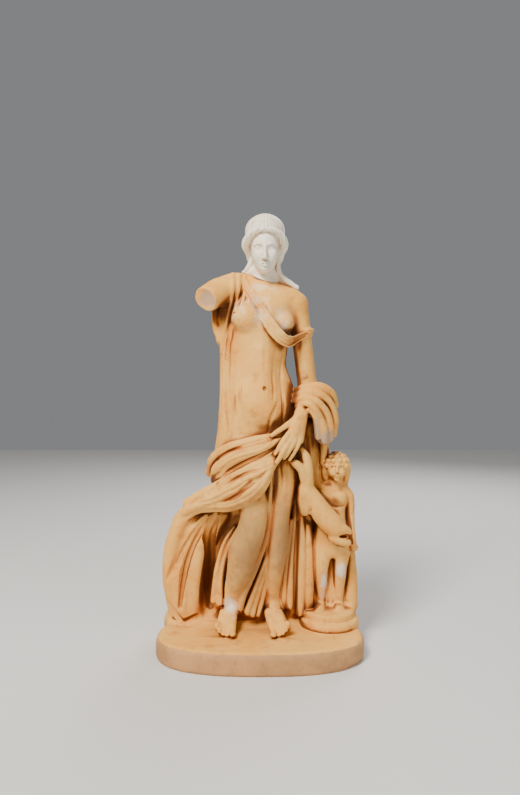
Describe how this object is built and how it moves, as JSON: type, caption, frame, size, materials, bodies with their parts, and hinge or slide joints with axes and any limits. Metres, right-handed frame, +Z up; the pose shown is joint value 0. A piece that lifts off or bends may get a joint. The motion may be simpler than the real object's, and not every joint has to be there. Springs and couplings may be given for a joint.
{
  "type": "draped marble statuette on an oval plinth",
  "caption": "Carved marble statuette of a draped standing woman with a child and a sea creature on an oval plinth, one arm broken off.",
  "frame": {"origin": "centre of the plinth's flat underside", "axes": "+Z up, the figure looks along -Y, and +X is to the viewer's right"},
  "size_m": [0.3993, 0.2145, 0.8583],
  "materials": {
    "stained_marble": "worn marble with a warm ochre patina",
    "white_marble": "cleaned white marble"
  },
  "bodies": {
    "root": {"figure": "stained_marble", "head": "white_marble"}
  },
  "joints": []
}
